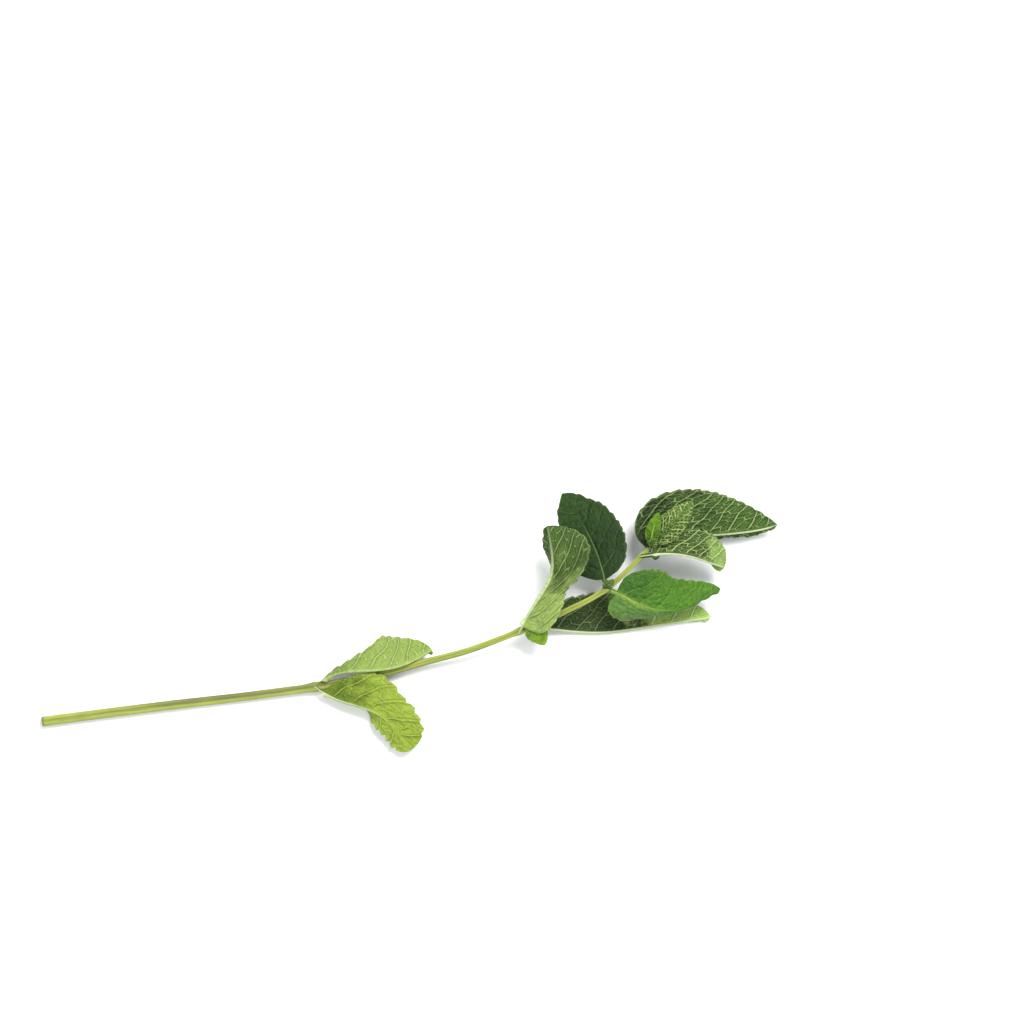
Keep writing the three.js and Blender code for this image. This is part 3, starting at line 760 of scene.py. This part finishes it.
# Painted shade: the green leaf is darker near its root.
GREEN = leaf_material(
    "green leaf", (0.009, 0.026, 0.004), (0.044, 0.100, 0.015), (0.03, 0.09, 0.009), (0.065, 0.15, 0.013),
    (0.37, 0.46, 0.17), vein_share=(0.5, 0.9), rib_share=(0.9, 0.9), rib_width=0.7, turn=(0.15, 0.7),
)
BLUNT = leaf_material(
    "blunt leaf", (0.036, 0.076, 0.010), (0.24, 0.37, 0.090), (0.03, 0.09, 0.009), (0.065, 0.15, 0.013),
    (0.42, 0.52, 0.20), rib_width=0.7, turn=(0.55, 0.9),
)
LOBE_GREEN = leaf_material(
    "curling lobe", (0.13, 0.25, 0.014), (0.20, 0.36, 0.020), (0.13, 0.25, 0.014), (0.20, 0.36, 0.020),
    (0.40, 0.52, 0.10), vein_share=(0.3, 0.1), rib_share=(0.3, 0.0),
)
YOUNG = leaf_material(
    "young leaf", (0.030, 0.072, 0.006), (0.055, 0.115, 0.013), (0.080, 0.20, 0.003), (0.11, 0.25, 0.006),
    (0.40, 0.50, 0.16), vein_share=(0.9, 0.9), rib_share=(0.0, 0.0), fine_share=0.3,
)
print("materials:", ", ".join(material.name for material in bpy.data.materials))

# %% [markdown]
# ## The eight leaves
#
# Lengths, headings, folds and curls are the same as in the solid model, so every blade lies where its solid
# is. A roll of 180 degrees has the pale underside up, as in most leaves of this sprig. Four values are for
# looks only: bite says how deep the teeth are, rib how thick the rib is, lean how much the side veins slant
# and net how wide the vein pattern is.

# %% First pair
LEAVES = {}
LEAVES["leaf_1_right"] = dict(
    joint=0, length=38.5, half=12.2, shape=(0.5, 0.5), teeth=12, relief=0.6,
    wave=0.4, waves=2, wave_start=0.3,
    left_width=[0.5, 0.5, 0.4, 0.34, 0.34, 0.5], right_width=[0.75, 0.72, 0.82, 0.95, 0.76, 0.82, 1],
    heading=[-52, -41, -30, -36, -56, -72, -76], pitch=[26, 18, 6, -2, -6, -8, -6],
    roll=[174, 172, 172, 176, 180],
    left=[70, 132, 128, 70, 16, 8, 8], right=[8, 6, 4, -12, -28, -26, -10],
    curl_left=[6, 6, 6, 10, 8, 4], curl_right=[0, 4, 12, 50, 70, 60, 20],
    bite=1.8, seed=0.7, material=OLD_RIGHT, slot="leaf_old",
)
LEAVES["leaf_1_left"] = dict(
    joint=0, length=41, half=10.2, shape=(0.5, 0.5), teeth=11, relief=0.6,
    wave=0.5, waves=2.5, wave_start=0,
    left_width=[0.4, 0.5, 0.7, 0.7], right_width=[0.2, 0.24, 0.56, 1.08, 1.05, 1],
    heading=[28, 8, -9, -13, -2, 12, 18], pitch=[30, 18, 2, -4, -4, -2], roll=[200, 184, 180, 178],
    left=[60, 126, 136, 138, 130, 90], right=[10, 12, 16, 18, 18, 14],
    curl_left=[6, 6, 6], curl_right=[4, 4, 4],
    bite=1.2, seed=1.9, material=OLD_LEFT, slot="leaf_old",
)

# %% Second pair
LEAVES["leaf_2_upper"] = dict(
    joint=1, length=41, half=13.4, shape=(0.3, 0.45), teeth=14, relief=0.6,
    wave=0.3, waves=2, wave_start=0.1,
    left_width=[0.9, 0.72, 0.66, 0.68, 0.88, 1.13, 0.8], right_width=[0.5, 0.5, 0.6, 0.7, 0.75, 0.8, 0.8],
    heading=[49, 46, 43, 46, 72, 84, 84], pitch=[44, 40, 28, 14, -4, -20, -44], roll=[180, 180, 180, 180],
    left=[0, 0, 26, 44, 24, 0, -4], right=[80, 124, 116, 104, 86, 76, 60],
    curl_left=[-8, -6, 4, 4, -4, -6], curl_right=[4, 4, 4], sweep_left=[-0.2, -0.1, 0, 0, 0, 0, 0],
    lean=1.5, net=1.25, seed=3.1, material=UPRIGHT, slot="leaf",
)
LEAVES["leaf_2_lower"] = dict(
    joint=1, length=63.5, half=12.6, shape=(0.62, 0.7), teeth=16, relief=0.7,
    wave=0.3, waves=2.5, wave_start=0.6, left_width=[1, 1, 1, 0.9, 0.6, 0.4],
    heading=[-2, -20, -19, -9, -6, -7, -7], pitch=[-32, -24, -4, 1, 1, 2, 3], roll=[180, 180, 180],
    left=[90, 140, 148, 132, 60], right=[6, 0, -3, -3, -2],
    curl_left=[0, 0, 0], curl_right=[2, 2, 2],
    seed=4.3, material=LONG, slot="leaf",
)

# %% Third pair
LEAVES["leaf_3_right"] = dict(
    joint=2, length=40, half=12.2, shape=(0.36, 0.72), teeth=13, relief=0.8,
    wave=0.4, waves=2, wave_start=0.2,
    right_width=[1.1, 0.72, 0.88, 0.84, 0.56, 0.4], sweep_right=[-0.3, -0.22, -0.05, 0, 0],
    heading=[-30, -44, -36, -18, 4, 14, 16], pitch=[16, 6, -2, -8, -10, -10], roll=[0, -2, -4, -6],
    left=[12, 6, 0, -4, -8], right=[-10, -16, -34, -50, -50, -40],
    curl_left=[-6, -8, -10, -10], curl_right=[-6, -12, -74, -146, -100, -30],
    seed=5.2, material=FACE_UP, slot="leaf",
)
LEAVES["leaf_3_left"] = dict(
    joint=2, length=38, half=10.5, shape=(0.5, 0.8), teeth=12, relief=0.9,
    wave=1, waves=3, wave_start=0.4,
    heading=[84, 96, 104, 114], pitch=[-8, -30, -34, -10], roll=[0, 2, 4, 6],
    left=[-6, 2, 6, 8], right=[20, 14, 10, 8], curl_left=[-10, -12], curl_right=[-14, -16],
    seed=6.6, material=SHADED, slot="leaf",
)

# %% Fourth pair
LEAVES["leaf_4_upper"] = dict(
    joint=3, length=29.5, half=8.8, shape=(0.6, 0.42), teeth=11, relief=0.8,
    wave=0.5, waves=2, wave_start=0.8,
    heading=[-6, -10, -17, -26, -34, -32, -33], pitch=[20, 12, 0, -18, -34, -50], roll=[180, 180, 180],
    left=[60, 126, 130, 126, 90], right=[56, 26, 18, 12, 4],
    curl_left=[6, 6], curl_right=[2, 2, 2, 0],
    net=0.72, rib=0.35, bite=1.6, seed=7.4, material=BLUNT, slot="leaf",
)
LEAVES["leaf_4_lower"] = dict(
    joint=3, length=48, half=14.6, shape=(0.42, 0.76), teeth=15, relief=0.9,
    wave=0.4, waves=2.5, wave_start=0.5, left_width=[0.45, 0.45],
    heading=[36, 14, -9, -13, -10, -6, 3], pitch=[-40, -26, -8, -4, -2, -2], roll=[180, 180, 180],
    left=[110, 96, 78, 74, 66], right=[4, 2, 2, 2, 2],
    curl_left=[0, 0], curl_right=[4, 4],
    rib=0.35, bite=0.8, seed=8.8, material=GREEN, slot="leaf",
)

# %% Make the leaves
LEAF_ROWS = 210
LEAF_COLUMNS = 90
for node, leaf in LEAVES.items():
    points, faces, numbers = leaf_mesh(leaf, joint_points[leaf["joint"]], LEAF_ROWS, LEAF_COLUMNS)
    piece(f"{node}_blade", points, faces, numbers, leaf["material"], node)

# %% [markdown]
# ## Small leaves
#
# The newest leaves are still half folded round the bud, tiny folded leaves stand in the crooks of the third
# pair, and beside the base of the arching leaf a bit of its folded half shows. All are made by the same leaf
# function with small numbers. The leaves of the tip are joined into one piece, and so are the side buds.

# %% Small leaves and how they are joined
YOUNG_TOOTH = 2.6


def young_leaf(length, half, heading, pitch, roll, fold, seed):
    """A small leaf folded by so many degrees on both sides, with a fine net and few teeth."""
    return dict(
        length=length, half=half, heading=heading, pitch=pitch, roll=roll, shape=(0.5, 0.85),
        teeth=max(3, round(length / YOUNG_TOOTH)), relief=0.5, wave=0, waves=1, wave_start=0,
        left=[fold, fold], right=[fold, fold],
        curl_left=[-fold * 0.5] * 2, curl_right=[-fold * 0.5] * 2, seed=seed, net=0.5,
    )


def joined(parts):
    """Several meshes as one."""
    shift = 0
    faces = []
    for points, made, _ in parts:
        faces.append(made + shift)
        shift += len(points)
    numbers = {key: np.concatenate([part[2][key] for part in parts]) for key in parts[0][2]}
    return np.concatenate([part[0] for part in parts]), np.concatenate(faces), numbers


# %% The lobe at the root of the arching leaf
LOBE_START = 0.1
LOBE_ROWS = 70
LOBE_COLUMNS = 36
LOBE = young_leaf(
    length=10.5, half=3.4, heading=[-40, -66, -80], pitch=[-4, -16, -26], roll=[0, 0, 0], fold=6, seed=3.3,
)
arching = LEAVES["leaf_2_upper"]
lobe_root = spine(arching, joint_points[arching["joint"]], np.array(LOBE_START))
points, faces, numbers = leaf_mesh(LOBE, lobe_root, LOBE_ROWS, LOBE_COLUMNS)
piece("leaf_2_upper_lobe", points, faces, numbers, LOBE_GREEN, "leaf_2_upper")

# %% Tip and side buds
tip_ahead = stem_ahead(np.array(1.0))
tip_root = stem_centre(np.array(1.0)) + tip_ahead
BUD_ROOT = joint_points[2]
TIP_GRID = (90, 40)
BUD_GRID = (60, 24)
FACE_UP_ROLL = [0, 0, 0]
FACE_DOWN_ROLL = [180, 180, 180]
TIP_LEAVES = [
    young_leaf(
        length=12.5, half=2.2, heading=[72, 62, 54], pitch=[38, 30, 14], roll=FACE_UP_ROLL, fold=40, seed=1.2,
    ),
    young_leaf(
        length=21, half=4.4, heading=[30, 32, 34], pitch=[32, 20, 6], roll=FACE_DOWN_ROLL, fold=34, seed=2.4,
    ),
    young_leaf(
        length=6, half=1.6, heading=[40, 50, 60], pitch=[68, 60, 50], roll=FACE_DOWN_ROLL, fold=40, seed=3.6,
    ),
]
BUD_LEAVES = [
    young_leaf(length=5.5, half=1.25, heading=[76, 76], pitch=[60, 46], roll=[180, 180], fold=38, seed=4.8),
    young_leaf(length=6, half=1.25, heading=[40, 40], pitch=[54, 40], roll=[180, 180], fold=38, seed=6.0),
]
points, faces, numbers = joined([leaf_mesh(leaf, tip_root, *TIP_GRID) for leaf in TIP_LEAVES])
piece("shoot_tip_leaves", points, faces, numbers, YOUNG, "shoot_tip")
points, faces, numbers = joined([leaf_mesh(leaf, BUD_ROOT, *BUD_GRID) for leaf in BUD_LEAVES])
piece("side_bud_leaves", points, faces, numbers, YOUNG, None)

# %% [markdown]
# ## The stem
#
# Mint has a square stem: four rounded corners with a shallow groove along each side. The section is drawn
# once by angle and carried along the route, a little thicker at each joint. At both ends rings of points
# shrink towards the middle and leave a pinhole too small to see.

# %% Section and swelling
JOINT_SWELL = 0.3
JOINT_REACH = 1.7
STEM_ROWS = 640
STEM_AROUND = 48
GROOVE = 0.1
GROOVE_WIDTH = 0.34


def stem_half(t):
    """Half the stem's width at a share of the route, and how much of a joint's swelling is there."""
    swell = sum(np.exp(-(((t - joint / LAST) * stem_length / JOINT_REACH) ** 2)) for joint in JOINTS)
    return along(STEM_ROUTE[:, 3], t) * (1 + JOINT_SWELL * swell), swell


def stem_section(angle):
    """How far the section reaches at an angle, for a half width of 1."""
    cos, sin = np.cos(angle), np.sin(angle)
    square = (cos**4 + sin**4) ** -0.25
    to_side = np.abs((angle + math.pi / 4) % (math.pi / 2) - math.pi / 4)
    return square - GROOVE * np.exp(-((to_side / GROOVE_WIDTH) ** 2))


# %% Stem mesh
t = np.linspace(0, 1, STEM_ROWS + 1)
ahead = stem_ahead(t)
heading = np.degrees(np.arctan2(ahead[:, 1], ahead[:, 0]))
pitch = np.degrees(np.arcsin(ahead[:, 2]))
_, left, face = directions(heading, pitch, 0 * t)
angle = np.arange(STEM_AROUND) / STEM_AROUND * 2 * math.pi
half, swell = stem_half(t)
reach = half[:, None] * stem_section(angle)[None, :]
ripple = 1 + 0.012 * np.sin(angle * 3 + t[:, None] * 40) + 0.01 * np.sin(t[:, None] * 95 + angle * 5)
reach = reach * ripple
sideways = -reach * np.cos(angle)
upwards = reach * np.sin(angle)
points = stem_centre(t)[:, None] + left[:, None] * sideways[..., None] + face[:, None] * upwards[..., None]
points[..., 2] = np.maximum(points[..., 2], 0)
rings = len(t)

# %% Ends of the stem
END_RINGS = 6
END_REACH = 0.98
END_DOME = 0.12
END_DISH = 0.25
caps = []
for row, sense in ((0, -1), (rings - 1, 1)):
    centre = points[row].mean(0)
    for ring in range(1, END_RINGS + 1):
        inwards = ring / END_RINGS
        dish = END_DOME * math.sin(inwards * math.pi) - END_DISH * smooth(inwards, 0.45, 1.0)
        ring_points = points[row] + (centre - points[row]) * inwards * END_REACH
        caps.append(ring_points + ahead[row] * sense * dish)
side_points = points.reshape(-1, 3)
cap_points = np.concatenate(caps)
all_points = np.concatenate([side_points, cap_points])
faces = [grid_faces(rings, STEM_AROUND, wrap=True, flip=True)]
ring_index = np.arange(STEM_AROUND)
for end, row in ((0, 0), (1, rings - 1)):
    previous = row * STEM_AROUND + ring_index
    for ring in range(END_RINGS):
        start = len(side_points) + (end * END_RINGS + ring) * STEM_AROUND
        current = start + ring_index
        quads = np.stack([previous, np.roll(previous, -1), np.roll(current, -1), current], 1)
        faces.append(quads if end == 0 else quads[:, ::-1])
        previous = current
print("stem points:", len(all_points))

# %% Numbers for the stem's skin
GRAIN_ROUND = 3
GROOVE_REACH = 0.9
inward = np.tile(np.repeat(np.arange(1, END_RINGS + 1) / END_RINGS, STEM_AROUND), 2)
on_ends = inward * 0
turned = np.stack([np.cos(angle), np.sin(angle)], 1) * GRAIN_ROUND
side_place = np.column_stack([np.repeat(t * stem_length, STEM_AROUND), np.tile(turned, (rings, 1))])
end_place = np.column_stack([on_ends, np.tile(turned, (2 * END_RINGS, 1)) * (1 - inward)[:, None]])
stem_numbers = {
    "place": np.concatenate([side_place, end_place]),
    "corner": np.concatenate([np.tile(stem_section(angle) - GROOVE_REACH, rings), on_ends]),
    "joint": np.concatenate([np.repeat(swell, STEM_AROUND), on_ends]),
    "cut": np.concatenate([np.zeros(len(side_points)), inward]),
    "share": np.concatenate([np.repeat(t, STEM_AROUND), on_ends]),
}

# %% [markdown]
# ## The stem's skin
#
# The skin is yellow-green with long fine fibres and pale corners. On the first third of the stem the left
# side is olive brown, and near the middle the right side is darkened with painted shade. At the cut the last
# millimetres have dried to brown.

# %% Stem material
SKIN_GREEN = (0.16, 0.19, 0.014)
SKIN_YELLOW = (0.25, 0.29, 0.026)
CORNER_PALE = (0.36, 0.40, 0.085)
OLIVE_BROWN = (0.085, 0.085, 0.022)
PAINTED_SHADE_GREEN = (0.07, 0.10, 0.012)
JOINT_GREEN = (0.15, 0.19, 0.025)
DRIED_BROWN = (0.13, 0.07, 0.02)
CUT_BROWN = (0.11, 0.055, 0.018)
PITH_PALE = (0.42, 0.40, 0.19)
STEM_BUMP = 0.00025
LEFTWARD = -0.333


def stem_material():
    """The finish of the stem, from its skin to the pith that shows at the cut."""
    s = Shader("green stem")
    place = s.attribute("place", 1)
    corner = s.attribute("corner").step(-0.02, 0.28)
    joint = s.attribute("joint")
    cut = s.attribute("cut")
    share = s.attribute("share")
    leftward = place.axis(1) * LEFTWARD
    fibres = s.noise(s.scaled(place, (0.12, 1.0, 1.0)), 1.6, 4.0)
    patches = s.noise(s.scaled(place, (0.06, 0.3, 0.3)), 1.0, 2.0).step(0.35, 0.7)
    skin = s.mix(fibres.step(0.35, 0.7), colour(*SKIN_GREEN), colour(*SKIN_YELLOW))
    skin = s.mix(corner * 0.4, skin, colour(*CORNER_PALE))
    olive = share.step(0.06, 0.2) * (1 - share.step(0.34, 0.42)) * leftward.step(-0.45, 0.15)
    skin = s.mix((olive * (0.55 + patches * 0.3)).clamp(), skin, colour(*OLIVE_BROWN))
    # Painted shade: a stretch near the middle of the stem is darker on its right side.
    shaded = share.step(0.36, 0.44) * (1 - share.step(0.60, 0.66)) * (1 - leftward.step(-0.75, -0.25))
    skin = s.mix(shaded * 0.6, skin, colour(*PAINTED_SHADE_GREEN))
    skin = s.mix((joint * 0.5).clamp(), skin, colour(*JOINT_GREEN))
    dried = 1 - (place.axis(0) + fibres * 1.5).step(1.0, 2.6)
    skin = s.mix(dried * (1 - cut.step(0.0, 0.1)) * 0.85, skin, colour(*DRIED_BROWN))
    pith = s.mix(cut.step(0.25, 0.6), colour(*CUT_BROWN), colour(*PITH_PALE))
    surface = s.mix(cut.step(0.02, 0.12), skin, pith)
    return s.finish({
        "Base Color": surface,
        "Roughness": 0.42 + fibres * 0.25,
        "Normal": s.bump(fibres, STEM_BUMP, 0.5),
        "Subsurface Weight": 0.12,
        "Subsurface Radius": (0.6, 1.0, 0.2),
        "Subsurface Scale": 0.001,
    })


# %% Make the stem
piece("stem_skin", all_points, np.concatenate(faces), stem_numbers, stem_material(), "stem")

# %% [markdown]
# ## Table and light
#
# The table is a plain pale sheet, not part of the sprig. A soft lamp from the upper right of the picture
# gives the soft shadows below the stem and leaves. A weaker lamp from the left and a bright sky fill them.

# %% Table
TABLE_HALF = 3.0
TABLE_BUMP = 0.0004
TABLE_GRAIN = 260.0
table_mesh = bpy.data.meshes.new("table")
table_corners = [(x * TABLE_HALF, y * TABLE_HALF, 0) for x, y in ((-1, -1), (1, -1), (1, 1), (-1, 1))]
table_mesh.from_pydata(table_corners, [], [(0, 1, 2, 3)])
table = bpy.data.objects.new("table", table_mesh)
bpy.context.scene.collection.objects.link(table)
table_shader = Shader("pale table")
spots = table_shader.node("ShaderNodeTexCoord", {}, {}, 3)
plaster = table_shader.noise(spots, TABLE_GRAIN, 5.0)
table_mesh.materials.append(table_shader.finish({
    "Base Color": colour(0.93, 0.93, 0.925),
    "Roughness": 0.9,
    "Normal": table_shader.bump(plaster, TABLE_BUMP, 0.3),
}))


# %% Lamps and sky
LAMP_AIM = (-20, -20, 0)
SKY_COLOUR = (0.95, 0.98, 1.0)
SKY_STRENGTH = 0.72


def lamp(name, right, up, height, size, watts):
    """A square soft lamp that looks at the sprig."""
    data = bpy.data.lights.new(name, "AREA")
    data.size = size
    data.energy = watts
    made = bpy.data.objects.new(name, data)
    made.location = picture_point(right, up, height)
    aim = picture_point(*LAMP_AIM) - made.location
    made.rotation_euler = aim.to_track_quat("-Z", "Y").to_euler()
    bpy.context.scene.collection.objects.link(made)
    print(name, watts, "W,", size, "m wide")


lamp("soft lamp", right=380, up=640, height=1250, size=0.55, watts=27)
lamp("fill lamp", right=-900, up=-300, height=1100, size=1.2, watts=8)
world = bpy.data.worlds.new("sky")
bpy.context.scene.world = world
world.use_nodes = True
sky = world.node_tree.nodes["Background"]
sky.inputs["Color"].default_value = colour(*SKY_COLOUR)
sky.inputs["Strength"].default_value = SKY_STRENGTH
bpy.context.scene.view_settings.view_transform = "Standard"
